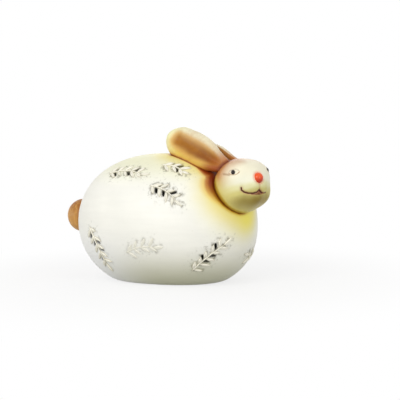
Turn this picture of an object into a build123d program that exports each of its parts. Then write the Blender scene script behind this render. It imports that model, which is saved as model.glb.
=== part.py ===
from build123d import *
import math
import os

os.makedirs("parts", exist_ok=True)

# A hollow ceramic rabbit: egg body on a flat foot, head turned to its right, ears laid on the back,
# ball tail. Millimetres, +Z up, +X towards the head, the face turned to -Y, origin amid the foot.

# Egg body: a body of revolution about X with a superellipse as its outline, its foot cut flat
BODY_LENGTH = 140
BODY_DIAMETER = 104
BODY_FULLNESS = 2.28
FOOT_DEPTH = 8.5
AXIS_HEIGHT = BODY_DIAMETER / 2 - FOOT_DEPTH
WALL = 4
FOOT_WALL = 5
FOOT_ROUNDING = 1.5
PROFILE_STEPS = 16
VENT_DIAMETER = 9
VENT_SETBACK = 18
LUTING_VENT_DIAMETER = 4

# Head: skull ball with muzzle and brows, placed from the egg's front end and top
HEAD_DIAMETER = 39.4
HEAD_SETBACK = 3.2
HEAD_DROP = 22.3
HEAD_ASIDE = 13
HEAD_TURN = 28
HEAD_RAISE = 18.5
HEAD_WALL = 3.5
MUZZLE_DIAMETER = 24
MUZZLE_PROUD = 1.9
MUZZLE_FORWARD = (HEAD_DIAMETER - MUZZLE_DIAMETER) / 2 + MUZZLE_PROUD
MUZZLE_BLEND = 6
BROW_DIAMETER = 26
BROW_PROUD = 2.5
BROW_REACH = (HEAD_DIAMETER - BROW_DIAMETER) / 2 + BROW_PROUD
BROW_SWING = 50
BROW_LIFT = 24.5

# Eyes and nose, set in dimples of their own shape
EYE_SWING = 47
EYE_LIFT = 14.5
EYE_DIAMETER = 3.8
EYE_PROUD = 0.9
NOSE_DIAMETER = 7.2
NOSE_PROUD = 3

# Ears: straps with a trough, lofted, the right one rising more steeply along the back
EAR_LENGTH = 75
EAR_WIDTH = 28
EAR_THICKNESS = 13
EAR_FLATNESS = 0.8
TROUGH_DEPTH = 5.8
TROUGH_SHARE = 0.78
TROUGH_ROUNDNESS = 1.7
SECTION_STEPS = 24
EAR_ROOT_FORWARD = 4
EAR_ROOT_ASIDE = 9.1
EAR_ROOT_LIFT = 10.3
EAR_TURN = 24
EAR_LEAN = 32
EAR_SPLAY = 3
RIGHT_EAR_RISE = 20
LEFT_EAR_RISE = 10
RIGHT_EAR_SETBACK = 0
LEFT_EAR_SETBACK = 3

# Cross sections of an ear from root to tip: share of its length, of its width, and of the trough's depth
EAR_SECTIONS = [
    (0, 0.38, 0), (0.12, 0.41, 0), (0.2, 0.46, 0.3), (0.3, 0.62, 0.9), (0.46, 0.92, 1),
    (0.64, 1, 1), (0.8, 0.9, 1), (0.9, 0.7, 0.55), (0.96, 0.46, 0), (0.985, 0.29, 0),
]

# Tail: hollow ball on the rear end
TAIL_DIAMETER = 25.4
TAIL_REACH = 4.2
TAIL_LIFT = 3.4

# Leaf sprigs: relief on the egg, pairs of pointed leaves on a bowed stem, the wall pierced between
# some of the leaves
RELIEF = 1.2
LEAF_LENGTH = 6.8
LEAF_WIDTH = 2.3
LEAF_SWING = 48
LEAF_SPACING = 6.2
LEAF_START = 0.3
STEM_WIDTH = 1.3
STEM_BOW = 2.4
GAP_LENGTH = 4.8
GAP_WIDTH = 1.9
GAP_OFFSET = 2.9
GAP_START = LEAF_START + 0.5
GAP_REACH = 3 * WALL

# Each sprig: share of the half-length along X, degrees round the axis from -Y upwards, turn of the stem,
# leaf pairs, and the pierced gaps as (leaf interval, side of the stem)
SPRIGS = [
    (-0.26, 50, -8, 5, ((0, 1), (0, -1), (2, -1), (3, 1))),
    (0.27, 57, -14, 3, ((1, 1), (1, -1))),
    (0.27, 31, -24, 4, ((0, 1), (0, -1), (1, -1), (2, 1))),
    (-0.53, -18, -66, 5, ((0, -1), (1, 1), (1, -1), (2, 1), (3, -1))),
    (0.04, -17, 12, 4, ()),
    (0.71, -33, 24, 5, ((1, -1), (1, 1), (2, -1), (3, 1))),
    (0.93, -105, 70, 2, ((0, 1),)),
    (-0.28, 132, 170, 4, ((0, 1), (1, -1), (2, 1))),
    (0.36, 158, 205, 4, ((0, -1), (1, 1), (2, -1))),
    (-0.48, 200, 245, 4, ((0, 1), (1, -1), (2, -1))),
    (0.06, 197, 165, 4, ()),
    (0.66, 205, 150, 4, ((0, 1), (1, 1), (1, -1))),
]

EGG_CENTRE = Vector(0, 0, AXIS_HEIGHT)
UP = Vector(0, 0, 1)
CLEAR = 2 * BODY_LENGTH


def signed_power(value, power):
    return math.copysign(abs(value) ** power, value)


def egg_outline(angle, grow):
    """Distance along the axis and radius of the egg's outline, moved out by grow."""
    power = 2 / BODY_FULLNESS
    along = (BODY_LENGTH / 2 + grow) * signed_power(-math.cos(angle), power)
    radius = (BODY_DIAMETER / 2 + grow) * abs(math.sin(angle)) ** power
    return along, radius


def egg(grow):
    """The whole egg, before the foot is cut, with its surface moved out by grow."""
    points = []
    for step in range(PROFILE_STEPS + 1):
        along, radius = egg_outline(math.pi * step / PROFILE_STEPS, grow)
        points.append((along, 0, radius))
    points[0] = (points[0][0], 0, 0)
    points[-1] = (points[-1][0], 0, 0)
    outline = Spline(*points, tangents=[(0, 0, 1), (0, 0, -1)])
    axis_line = Line(points[-1], points[0])
    return Pos(EGG_CENTRE) * revolve(make_face([outline, axis_line]), Axis.X, 360)


def egg_place(share, round_angle):
    """Point on the egg's surface and its outward normal."""
    swing = math.radians(round_angle)
    ring = Vector(0, -math.cos(swing), math.sin(swing))
    half = BODY_LENGTH / 2
    radius = BODY_DIAMETER / 2
    reach = (1 - abs(share) ** BODY_FULLNESS) ** (1 / BODY_FULLNESS)
    point = EGG_CENTRE + Vector(share * half, 0, 0) + ring * (reach * radius)
    slope_along = signed_power(share, BODY_FULLNESS - 1) / half
    slope_out = reach ** (BODY_FULLNESS - 1) / radius
    normal = (Vector(slope_along, 0, 0) + ring * slope_out).normalized()
    return point, normal


def sprig_plane(share, round_angle, turn):
    """Plane touching the egg, its x axis along the middle of the stem."""
    point, normal = egg_place(share, round_angle)
    level = (Vector(1, 0, 0) - normal * normal.X).normalized()
    return Plane(origin=point, x_dir=level.rotate(Axis((0, 0, 0), normal), turn), z_dir=normal)


def pointed_lens(length, width):
    """Pointed leaf shape from (0, 0) along +X."""
    upper = ThreePointArc((0, 0), (length / 2, width / 2), (length, 0))
    lower = ThreePointArc((length, 0), (length / 2, -width / 2), (0, 0))
    return make_face([upper, lower])


def stem_length(pairs):
    return LEAF_SPACING * pairs


def stem_height(x, pairs):
    """Height of the bowed stem over its chord."""
    half = stem_length(pairs) / 2
    return STEM_BOW * (1 - (x / half) ** 2)


def sprig_sketch(pairs):
    """Bowed stem, leaf pairs, and one leaf at the tip."""
    half = stem_length(pairs) / 2
    over = ThreePointArc((-half, 0), (0, STEM_BOW + STEM_WIDTH / 2), (half, 0))
    under = ThreePointArc((half, 0), (0, STEM_BOW - STEM_WIDTH / 2), (-half, 0))
    sketch = make_face([over, under])
    leaf = pointed_lens(LEAF_LENGTH, LEAF_WIDTH)
    sketch += Pos(half - STEM_WIDTH, 0) * leaf
    for index in range(pairs):
        x = -half + LEAF_SPACING * (index + LEAF_START)
        root = Pos(x, stem_height(x, pairs))
        sketch += root * Rot(0, 0, LEAF_SWING) * leaf
        sketch += root * Rot(0, 0, -LEAF_SWING) * leaf
    return sketch


def sprig(plane, pairs, layer):
    """One sprig: the leaf sketch raised on the egg's surface."""
    prism = extrude(plane * sprig_sketch(pairs), LEAF_LENGTH, both=True)
    return layer & prism


def gap_cutter(plane, pairs, interval, side):
    """Almond prism through the wall, between two neighbouring leaves."""
    x = -stem_length(pairs) / 2 + LEAF_SPACING * (interval + GAP_START)
    slant = side * LEAF_SWING
    lean = math.radians(slant)
    middle_x = x + GAP_OFFSET * math.cos(lean)
    middle_y = stem_height(x, pairs) + GAP_OFFSET * math.sin(lean)
    almond = Pos(-GAP_LENGTH / 2, 0) * pointed_lens(GAP_LENGTH, GAP_WIDTH)
    almond = Pos(middle_x, middle_y) * Rot(0, 0, slant) * almond
    return extrude(plane * almond, GAP_REACH, both=True)


def head_plane():
    """Plane through the head's centre: x along the face, y to the rabbit's left, z up through the crown."""
    turn = math.radians(HEAD_TURN)
    rise = math.radians(HEAD_RAISE)
    centre_x = BODY_LENGTH / 2 - HEAD_SETBACK
    centre_z = AXIS_HEIGHT + BODY_DIAMETER / 2 - HEAD_DROP
    face = Vector(math.cos(rise) * math.cos(turn), -math.cos(rise) * math.sin(turn), math.sin(rise))
    crown = Vector(-math.sin(rise) * math.cos(turn), math.sin(rise) * math.sin(turn), math.cos(rise))
    return Plane(origin=(centre_x, -HEAD_ASIDE, centre_z), x_dir=face, z_dir=crown)


def head_line(side, swing_angle, lift_angle):
    """Unit vector in the head's own axes; side +1 for the rabbit's left."""
    swing = math.radians(swing_angle)
    lift = math.radians(lift_angle)
    return Vector(math.cos(lift) * math.cos(swing), side * math.cos(lift) * math.sin(swing), math.sin(lift))


def brow_place(side):
    """Middle of a brow ball, its z axis out through the eye."""
    middle = head_line(side, BROW_SWING, BROW_LIFT) * BROW_REACH
    return Location(Plane(origin=middle, z_dir=head_line(side, EYE_SWING, EYE_LIFT)))


def face_axis(reach):
    """Place on the line from the head's centre through the nose, its z axis outwards."""
    return Location(Plane(origin=(reach, 0, 0), z_dir=(1, 0, 0)))


def head_form():
    """Outside of the head in its own axes: skull and muzzle with a blended crease, and two brows."""
    form = face_axis(0) * Sphere(HEAD_DIAMETER / 2)
    form += face_axis(MUZZLE_FORWARD) * Sphere(MUZZLE_DIAMETER / 2)
    crease = [edge for edge in form.edges() if edge.is_closed]
    form = fillet(crease, MUZZLE_BLEND)
    for side in (1, -1):
        form += brow_place(side) * Sphere(BROW_DIAMETER / 2)
    return form


def eye(side):
    """Round pellet that stands a little proud of the brow."""
    reach = BROW_DIAMETER / 2 + EYE_PROUD - EYE_DIAMETER / 2
    return brow_place(side) * Pos(0, 0, reach) * Sphere(EYE_DIAMETER / 2)


def nose():
    """Round pellet on the tip of the muzzle."""
    reach = MUZZLE_FORWARD + MUZZLE_DIAMETER / 2 + NOSE_PROUD - NOSE_DIAMETER / 2
    return face_axis(reach) * Sphere(NOSE_DIAMETER / 2)


def ear_section(length_share, width_share, trough_share):
    """Closed profile across an ear: convex back, and in front a trough between two thick rims."""
    half_width = width_share * EAR_WIDTH / 2
    half_thickness = width_share ** EAR_FLATNESS * EAR_THICKNESS / 2
    points = []
    for step in range(SECTION_STEPS):
        angle = 2 * math.pi * step / SECTION_STEPS
        across = half_width * math.cos(angle)
        height = half_thickness * math.sin(angle)
        if height > 0:
            inner = min(1, abs(across) / (TROUGH_SHARE * half_width))
            height -= trough_share * TROUGH_DEPTH * (1 - inner ** 2) ** TROUGH_ROUNDNESS
        points.append((length_share * EAR_LENGTH, across, height))
    return make_face(Spline(*points, periodic=True))


def ear_form():
    """Ear along +X, lofted through its sections to the tip, the trough on +Z."""
    sections = [ear_section(*section) for section in EAR_SECTIONS]
    return loft(sections + [Vertex(EAR_LENGTH, 0, 0)])


def ear_plane(side, rise_angle, setback):
    """Plane of an ear: x along it to the tip, z out of the trough; side +1 for the rabbit's left."""
    turn = math.radians(EAR_TURN)
    rise = math.radians(rise_angle)
    lean = math.radians(EAR_LEAN)
    splay = math.radians(EAR_SPLAY)
    backward = Vector(-math.cos(turn), math.sin(turn), 0)
    outward = Vector(math.sin(turn), math.cos(turn), 0) * side
    root = head_plane().origin + UP * EAR_ROOT_LIFT
    root += backward * (setback - EAR_ROOT_FORWARD) + outward * EAR_ROOT_ASIDE
    level = backward * math.cos(splay) + outward * math.sin(splay)
    along = level * math.cos(rise) + UP * math.sin(rise)
    facing = outward * math.cos(lean) + UP * math.sin(lean)
    facing = (facing - along * facing.dot(along)).normalized()
    return Plane(origin=root, x_dir=along, z_dir=facing)


def tail_place():
    return Pos(-BODY_LENGTH / 2 - TAIL_REACH, 0, AXIS_HEIGHT + TAIL_LIFT)


def bore(start, end, diameter):
    """Round bore from one point to another."""
    run = end - start
    return extrude(Plane(origin=start, z_dir=run) * Circle(diameter / 2), run.length)


def build_body(whole_egg, cutters):
    """Hollow egg with flat foot, vents and pierced gaps."""
    keep = Pos(0, 0, CLEAR / 2) * Box(2 * CLEAR, CLEAR, CLEAR)
    room = Pos(0, 0, CLEAR / 2 + FOOT_WALL) * Box(2 * CLEAR, CLEAR, CLEAR)
    shell = whole_egg & keep
    foot_edge = shell.faces().sort_by(Axis.Z)[0].edges()
    shell = fillet(foot_edge, FOOT_ROUNDING)
    shell -= egg(-WALL) & room
    shell -= Pos(-VENT_SETBACK, 0, 0) * Cylinder(VENT_DIAMETER / 2, 4 * FOOT_WALL)
    for far_point in (head_plane().origin, tail_place().position):
        shell -= bore(EGG_CENTRE, far_point, LUTING_VENT_DIAMETER)
    return shell - cutters


def write(node, solid):
    solid.label = node
    export_step(solid, "parts/" + node + ".step")


whole_egg = egg(0)
layer = egg(RELIEF) - whole_egg
head_at = Location(head_plane())
head_outside = head_at * head_form()
pellets = {"nose": head_at * nose(), "eye_left": head_at * eye(1), "eye_right": head_at * eye(-1)}

head = head_outside - whole_egg
head -= head_at * Sphere(HEAD_DIAMETER / 2 - HEAD_WALL)
for pellet in pellets.values():
    head -= pellet
write("head_shell", head)
for node, pellet in pellets.items():
    write(node, pellet)

ears = [
    ("ear_left", 1, LEFT_EAR_RISE, LEFT_EAR_SETBACK),
    ("ear_right", -1, RIGHT_EAR_RISE, RIGHT_EAR_SETBACK),
]
for node, side, rise_angle, setback in ears:
    ear = Location(ear_plane(side, rise_angle, setback)) * ear_form()
    write(node, ear - head_outside - whole_egg)

tail = tail_place() * (Sphere(TAIL_DIAMETER / 2) - Sphere(TAIL_DIAMETER / 2 - HEAD_WALL))
write("tail", tail - whole_egg)

cutters = []
for number, (share, round_angle, turn, pairs, gaps) in enumerate(SPRIGS, start=1):
    plane = sprig_plane(share, round_angle, turn)
    write("sprig_%02d" % number, sprig(plane, pairs, layer))
    for interval, gap_side in gaps:
        cutters.append(gap_cutter(plane, pairs, interval, gap_side))

write("body_shell", build_body(whole_egg, cutters))
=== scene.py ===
import math

import bpy
import numpy as np
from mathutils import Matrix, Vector


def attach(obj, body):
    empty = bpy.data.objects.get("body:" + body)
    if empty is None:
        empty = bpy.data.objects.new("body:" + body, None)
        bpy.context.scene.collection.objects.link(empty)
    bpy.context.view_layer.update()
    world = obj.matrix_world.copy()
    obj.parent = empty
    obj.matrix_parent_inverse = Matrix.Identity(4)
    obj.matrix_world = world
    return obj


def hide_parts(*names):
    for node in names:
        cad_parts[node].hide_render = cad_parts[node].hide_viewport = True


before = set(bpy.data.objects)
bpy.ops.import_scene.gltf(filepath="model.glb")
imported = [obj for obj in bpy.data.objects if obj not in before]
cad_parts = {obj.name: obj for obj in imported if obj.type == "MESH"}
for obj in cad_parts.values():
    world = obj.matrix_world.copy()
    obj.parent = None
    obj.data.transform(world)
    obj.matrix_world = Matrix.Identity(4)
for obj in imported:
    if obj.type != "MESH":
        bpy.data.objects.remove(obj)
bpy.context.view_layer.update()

# Ceramic rabbit, dressed. Shapes are worked out in millimetres and written in metres.

MM = 0.001
TINY = 1e-6
UP = np.array([0.0, 0.0, 1.0])

# Egg body
HALF_LENGTH = 70.0
RADIUS = 52.0
FULLNESS = 2.28
AXIS_HEIGHT = 43.5
WALL = 4.0
FOOT_WALL = 5.0
FOOT_SHARPNESS = 50.0
FOOT_FADE = (1.0, 6.0)
FOOT_EDGE = 3.0
EGG_CENTRE = np.array([0.0, 0.0, AXIS_HEIGHT])
SHARP_ANGLE = math.radians(38)
SEAM_DEPTH = 0.35
SEAM_WIDTH = 1.1
EAR_SEAM_FADE = 0.8
# depths below the skin from which the inside is painted near black, as painted shade
INSIDE_DEPTHS = (0.6, 1.3)

# Vent in the foot
VENT_RADIUS = 4.5
VENT_SETBACK = 18.0
VENT_HEIGHTS = (-5.0, 9.0)
VENT_SIDES = 48

# Spots on the egg, as place and width: a flattened chest, and where colour lies broad
FLAT_SPOT = ((62.0, 16.0, 46.0), 20.0)
FLAT_DEPTH = 1.8
NAPE = ((52.0, -30.0, 78.0), 17.0)
EAR_CORNER = ((48.0, -20.0, 83.0), 12.0)
CHEST = ((69.0, -7.0, 51.0), 13.0)
TAIL_COLOUR_REACH = 60.0

# Head; places on it are in its own axes: x along the face, y to the rabbit's left, z through the crown
HEAD_RADIUS = 19.7
HEAD_SETBACK = 3.2
HEAD_ASIDE = 13.0
HEAD_DROP = 22.3
HEAD_CENTRE = np.array([HALF_LENGTH - HEAD_SETBACK, -HEAD_ASIDE, AXIS_HEIGHT + RADIUS - HEAD_DROP])
HEAD_TURN = math.radians(28)
HEAD_RAISE = math.radians(18.5)
BROW_SWING = 50
BROW_LIFT = 24.5
BROW_FORWARD = 9.2
BROW_RADIUS = 13.0
EYE_SWING = 47
EYE_LIFT = 14.5
EYE_RADII = np.array([1.6, 1.6, 1.95])
EYE_SINK = 1.0
NOSE_CENTRE = np.array([20.8, 0.0, 0.0])
NOSE_RADII = np.array([3.5, 3.45, 3.8])
NOSE_HALO = 3.4
NOSE_GROOVE = 3.9
NOSE_GROOVE_DEPTH = 0.5
NOSE_GROOVE_WIDTH = 0.6

# Rim of the eye, and the streak behind it
EYE_DEPTH = 4
ALMOND_MIDDLE = -0.7
ALMOND_HALF_LENGTH = 3.5
ALMOND_HALF_HEIGHT = 2.1
ALMOND_FULLNESS = 1.8
ALMOND_LEAN = 0.07
FAR_ALMOND = 9.0
FAR_FROM_EYE = 30
LID_PLACE = 1.15
LID_WIDTH = 0.28
UPPER_LID = 0.4
LOWER_LID = 0.28
SOCKET_DEPTH = 0.25
STREAK_MIDDLE = 5.2
STREAK_SLOPE = 0.6
STREAK_HALF = 1.9

# Lines on the face, as stops of (swing, lift) in degrees
NEAR_MOUTH = [(-39, -14.5), (-39.5, -19), (-35, -24), (-26, -28), (-15, -29.5), (-6, -28), (0, -23.5)]
FAR_MOUTH = [(0, -23.5), (5, -28), (11, -30)]
PHILTRUM = [(0, -24.5), (0, -9)]
CLEFT = [(-1, -28.5), (2, -28.5)]
LOWER_LIP = [(-18, -30.5), (-6, -31.5), (8, -31), (25, -29)]
CLEFT_RADIUS = 1.2
MOUTH_DEPTH = 0.75
PHILTRUM_DEPTH = 0.35
LINE_WIDTH = 0.8
LIP_DEPTH = 0.3
LIP_WIDTH = 1.0

# Ears; the near one is the right
EAR_LENGTH = 75.0
EAR_HALF_WIDTH = 14.0
EAR_HALF_THICKNESS = 6.5
EAR_TURN = math.radians(24)
EAR_LEAN = math.radians(32)
EAR_SPLAY = math.radians(3)
RIGHT_EAR_RISE = math.radians(20)
RIGHT_EAR_SETBACK = 0.0
LEFT_EAR_RISE = math.radians(10)
LEFT_EAR_SETBACK = 3.0
EAR_ROOT_FORWARD = 4.0
EAR_ROOT_ASIDE = 9.1
EAR_ROOT_LIFT = 10.3
EAR_OUTLINE = [(0, 0.38), (0.2, 0.46), (0.46, 0.92), (0.64, 1.0), (0.82, 0.88), (1.0, 0.75)]
TIP_START = 0.78
TIP_LENGTH = 0.22
THICKNESS_TAPER = 0.8
LAST_SECTION = 0.97
LEAST_SHARE = 0.05
TROUGH_DEPTH = 5.8
TROUGH_SHARE = 0.78
TROUGH_ROUNDNESS = 1.7
TROUGH_START = (0.12, 0.34)
TROUGH_END = (0.84, 0.97)
FOLD_DEPTH = 0.9
FOLD_WIDTH = 0.16
ROOT_SINK = 1.1
ROOT_SINK_REACH = 3.0
FAR_ROOT_FADE = 5.5
UPPER_RIM = (-0.2, 0.4)
NEAR_EAR_TRIM = (0.09, (0.15, 0.35), (0.9, 0.7))
FAR_EAR_TRIM = (0.05, (0.4, 0.6), (0.92, 0.75))
FAR_EAR_SWELL = 0.11
FAR_SWELL_PLACE = 0.37
FAR_SWELL_REACH = 0.15

# Tail
TAIL_RADIUS = 12.7
TAIL_SETBACK = 4.2
TAIL_RISE = 3.4
TAIL_CENTRE = np.array([-HALF_LENGTH - TAIL_SETBACK, 0.0, AXIS_HEIGHT + TAIL_RISE])

# Unevenness of the skin, as height, wavelength and seed; the tail's wavelength is a share of its radius
BODY_SWELLS = [(0.14, 44, 2), (0.05, 13, 4)]
HEAD_SWELL = (0.12, 17, 3)
EAR_SWELL = (0.18, 21, 9)
TAIL_SWELL = (0.12, 0.7, 5)
SWELL_WAVES = 7

# Sprigs
RELIEF = 1.2
STEM_SHARE = 0.8
SPRIG_SINK = 0.25
SPRIG_SEED = 100
WORN_STRENGTH = 0.5
LEAF_LENGTH = 6.8
LEAF_WIDTH = 2.3
LEAF_LENGTH_SPREAD = (0.9, 1.35)
LEAF_WIDTH_SPREAD = (0.95, 1.28)
LEAF_SWING = math.radians(48)
LEAF_SWAY = 0.22
LEAF_SPACING = 6.2
LEAF_START = 0.3
VEIN_DEPTH = 0.32
VEIN_WIDTH = 0.16
STEM_WIDTH = 1.3
STEM_BOW = 2.4
GAP_LENGTH = 5.8
GAP_WIDTH = 2.2
GAP_OFFSET = 2.9
GAP_START = 0.8
GAP_DEPTH = 11.0
GAP_SIDES = 28

# Each sprig: (share of the egg's length, degrees round it, turn), leaf pairs, gaps as (interval, side)
SPRIGS = [
    ((-0.26, 50, -8), 5, ((0, 1), (0, -1), (2, -1), (3, 1))),
    ((0.27, 57, -14), 3, ((1, 1), (1, -1))),
    ((0.27, 31, -24), 4, ((0, 1), (0, -1), (1, -1), (2, 1))),
    ((-0.53, -18, -66), 5, ((0, -1), (1, 1), (1, -1), (2, 1), (3, -1))),
    ((0.04, -17, 12), 4, ()),
    ((0.71, -33, 24), 5, ((1, -1), (1, 1), (2, -1), (3, 1))),
    ((0.93, -105, 70), 2, ((0, 1),)),
    ((-0.28, 132, 170), 4, ((0, 1), (1, -1), (2, 1))),
    ((0.36, 158, 205), 4, ((0, -1), (1, 1), (2, -1))),
    ((-0.48, 200, 245), 4, ((0, 1), (1, -1), (2, -1))),
    ((0.06, 197, 165), 4, ()),
    ((0.66, 205, 150), 4, ((0, 1), (1, 1), (1, -1))),
]

# Stain round the leaves, and painted shade round the gaps
WASH_DEPTH = 14
WASH_REACH = 34
STAIN_WIDTH = 1.3
FLECK_WIDTH = 4.5
SHADE_WIDTH = 0.7
LEAF_CORE = 0.3
GAP_CORE = 0.4

# Fineness of the meshes
BODY_CELLS = 240
HOLLOW_CELLS = 36
HEAD_CELLS = 110
TAIL_CELLS = 64
NOSE_CELLS = 24
EYE_CELLS = 20
EAR_ROWS = 130
EAR_COLUMNS = 120
LEAF_ROWS = 19
LEAF_COLUMNS = 13
STEM_ROWS = 48
STEM_COLUMNS = 7

# Searches for a surface, as lowest, highest and number of halvings
HEAD_SEARCH = (12.0, 32.0, 34)
SPRIG_SEARCH = (-25.0, 3.0, 40)

# Lights in metres and watts: name, place, target, size, power
LIGHTS = [
    ("key", (-0.1, -0.85, 0.5), (0, 0, 0.05), 0.7, 3.7),
    ("left", (-0.95, -0.5, 0.05), (-0.03, 0, 0.03), 0.6, 1.9),
    ("fill", (0.9, -0.45, 0.3), (0.02, 0, 0.06), 0.6, 2.8),
    ("back", (-0.3, 0.9, 0.45), (0, 0, 0.05), 0.7, 1.0),
    ("top", (0.0, 0.25, 0.95), (0, 0, 0.05), 0.7, 0.5),
]
SKY_STRENGTH = 0.5
FLOOR_HALF = 4000

# Camera, from the photo's pixels
EGG_HALF_PIXELS = 93.0
PIXEL = HALF_LENGTH / EGG_HALF_PIXELS
CAMERA_AZIMUTH = math.radians(28)
CAMERA_ELEVATION = math.radians(6)
CAMERA_ROLL = math.radians(-1.2)
CAMERA_DISTANCE = 1250 * PIXEL
CENTRE_PIXEL = (168.2, 222.3)
PICTURE_PIXELS = 400
SENSOR = 36.0


# Vectors

def unit(vectors):
    return vectors / np.linalg.norm(vectors, axis=-1, keepdims=True)


def distance_to(points, place):
    return np.linalg.norm(points - np.asarray(place), axis=1)


def smooth_step(low, high, value):
    share = np.clip((value - low) / (high - low), 0, 1)
    return share * share * (3 - 2 * share)


def bump(distance, width):
    return np.exp(-((distance / width) ** 2))


def spot(points, place_and_width):
    """1 at a place, dying away round it."""
    place, width = place_and_width
    return bump(distance_to(points, place), width)


def smooth_min(first, second, softness):
    share = np.clip(0.5 + 0.5 * (second - first) / softness, 0, 1)
    return second + (first - second) * share - softness * share * (1 - share)


def smooth_table(value, table):
    """Smooth curve through a short table of (place, height)."""
    places, heights = np.array(table).T
    slopes = np.gradient(heights, places)
    index = np.clip(np.searchsorted(places, value, side="right") - 1, 0, len(places) - 2)
    width = places[index + 1] - places[index]
    share = np.clip((value - places[index]) / width, 0, 1)
    rest = 1 - share
    start = heights[index] * (1 + 2 * share) * rest ** 2 + slopes[index] * width * share * rest ** 2
    end = heights[index + 1] * share * share * (3 - 2 * share)
    end = end + slopes[index + 1] * width * share * share * (share - 1)
    return start + end


def swell(points, height, wavelength, seed):
    """Soft random swell up to a height, from a few sine waves."""
    dice = np.random.default_rng(seed)
    total = np.zeros(len(points))
    for _ in range(SWELL_WAVES):
        heading = unit(dice.normal(size=3))
        total += np.sin(points @ heading * 2 * math.pi / wavelength + dice.uniform(0, 2 * math.pi))
    return height * (total / SWELL_WAVES)


def find_edge(count, search, is_inside):
    """Halves each interval until it closes on the edge of a form."""
    lowest, highest, halvings = search
    low = np.full(count, lowest)
    high = np.full(count, highest)
    for _ in range(halvings):
        middle = (low + high) / 2
        inside = is_inside(middle[:, None])
        low = np.where(inside, middle, low)
        high = np.where(inside, high, middle)
    return low


# Meshes

def cube_sphere(cells):
    """Directions and quads of a cube blown up to a ball."""
    steps = np.tan(np.linspace(-math.pi / 4, math.pi / 4, cells + 1))
    down, over = np.meshgrid(steps, steps, indexing="ij")
    one = np.ones_like(down)
    sides = [
        (one, down, over), (-one, over, down), (over, one, down),
        (down, -one, over), (down, over, one), (over, down, -one)]
    grid = np.arange((cells + 1) ** 2).reshape(cells + 1, cells + 1)
    quad = np.stack([grid[:-1, :-1], grid[1:, :-1], grid[1:, 1:], grid[:-1, 1:]], axis=-1).reshape(-1, 4)
    points = []
    quads = []
    for number, side in enumerate(sides):
        points.append(np.stack(side, axis=-1).reshape(-1, 3))
        quads.append(quad + number * (cells + 1) ** 2)
    points = unit(np.concatenate(points))
    _, first, again = np.unique(np.round(points, 6), axis=0, return_index=True, return_inverse=True)
    return points[first], again.reshape(-1)[np.concatenate(quads)]


def grid_quads(rows, columns, closed):
    """Quads of a grid of points, its columns joined round if closed."""
    quads = []
    for row in range(rows - 1):
        here = row * columns
        after = here + columns
        for column in range(columns if closed else columns - 1):
            beside = (column + 1) % columns
            quads.append((here + column, after + column, after + beside, here + beside))
    return quads


def prism_faces(start, count):
    """Faces of a prism: its lower outline is the count points from start on, its upper one follows."""
    faces = [tuple(range(start + count - 1, start - 1, -1)), tuple(range(start + count, start + 2 * count))]
    for corner in range(count):
        beside = (corner + 1) % count
        faces.append((start + corner, start + beside, start + count + beside, start + count + corner))
    return faces


def new_mesh(name, points, faces):
    mesh = bpy.data.meshes.new(name)
    mesh.from_pydata((np.asarray(points) * MM).tolist(), [], [tuple(int(i) for i in face) for face in faces])
    mesh.update()
    return mesh


def new_piece(name, mesh, nodes, material):
    """An object that rides with the figure and stands for its CAD nodes."""
    piece = bpy.data.objects.new(name, mesh)
    bpy.context.scene.collection.objects.link(piece)
    mesh.shade_smooth()
    mesh.materials.clear()
    mesh.materials.append(material)
    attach(piece, "root")
    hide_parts(*nodes)
    return piece


def paint(mesh, **layers):
    """Float attributes on the points of a mesh."""
    for name, values in layers.items():
        layer = mesh.attributes.new(name, "FLOAT", "POINT")
        layer.data.foreach_set("value", np.asarray(values, dtype=np.float32).reshape(-1))


def mesh_points(mesh):
    flat = np.empty(len(mesh.vertices) * 3, dtype=np.float64)
    mesh.vertices.foreach_get("co", flat)
    return flat.reshape(-1, 3) / MM


# Egg

def egg_level(offsets, grow=0.0):
    """Below 1 inside the egg and 1 on its surface, for offsets from its centre."""
    ring = np.hypot(offsets[..., 1], offsets[..., 2])
    along = np.abs(offsets[..., 0]) / (HALF_LENGTH + grow)
    return along ** FULLNESS + (ring / (RADIUS + grow)) ** FULLNESS


def over_egg(points):
    """Distance outside the egg along the line from its centre, below zero inside it."""
    offsets = points - EGG_CENTRE
    return (egg_level(offsets) ** (1 / FULLNESS) - 1) * np.linalg.norm(offsets, axis=1)


def egg_normal(points):
    offsets = points - EGG_CENTRE
    ring = np.maximum(np.hypot(offsets[..., 1], offsets[..., 2]), TINY)
    along = np.sign(offsets[..., 0]) * np.abs(offsets[..., 0] / HALF_LENGTH) ** (FULLNESS - 1) / HALF_LENGTH
    out = (ring / RADIUS) ** (FULLNESS - 1) / RADIUS
    return unit(np.stack([along, out * offsets[..., 1] / ring, out * offsets[..., 2] / ring], axis=-1))


def egg_reach(directions, grow, foot):
    """Distance from the egg's centre to its surface, with the flat foot at height foot."""
    egg = egg_level(directions, grow) ** (-1 / FULLNESS)
    floor = (AXIS_HEIGHT - foot) / np.maximum(-directions[:, 2], TINY)
    return (egg ** -FOOT_SHARPNESS + floor ** -FOOT_SHARPNESS) ** (-1 / FOOT_SHARPNESS)


def egg_place(share, round_angle):
    swing = math.radians(round_angle)
    ring = np.array([0.0, -math.cos(swing), math.sin(swing)])
    reach = (1 - abs(share) ** FULLNESS) ** (1 / FULLNESS)
    return EGG_CENTRE + np.array([share * HALF_LENGTH, 0, 0]) + ring * reach * RADIUS


def flat_depth(points):
    """How far the hand-shaped chest lies inside the egg."""
    return FLAT_DEPTH * spot(points, FLAT_SPOT)


# Head

def head_line(swing, lift):
    """Direction in the head's own axes, from degrees of swing to the left and of lift."""
    swing = math.radians(swing)
    lift = math.radians(lift)
    return np.array([math.cos(lift) * math.cos(swing), math.cos(lift) * math.sin(swing), math.sin(lift)])


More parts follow.
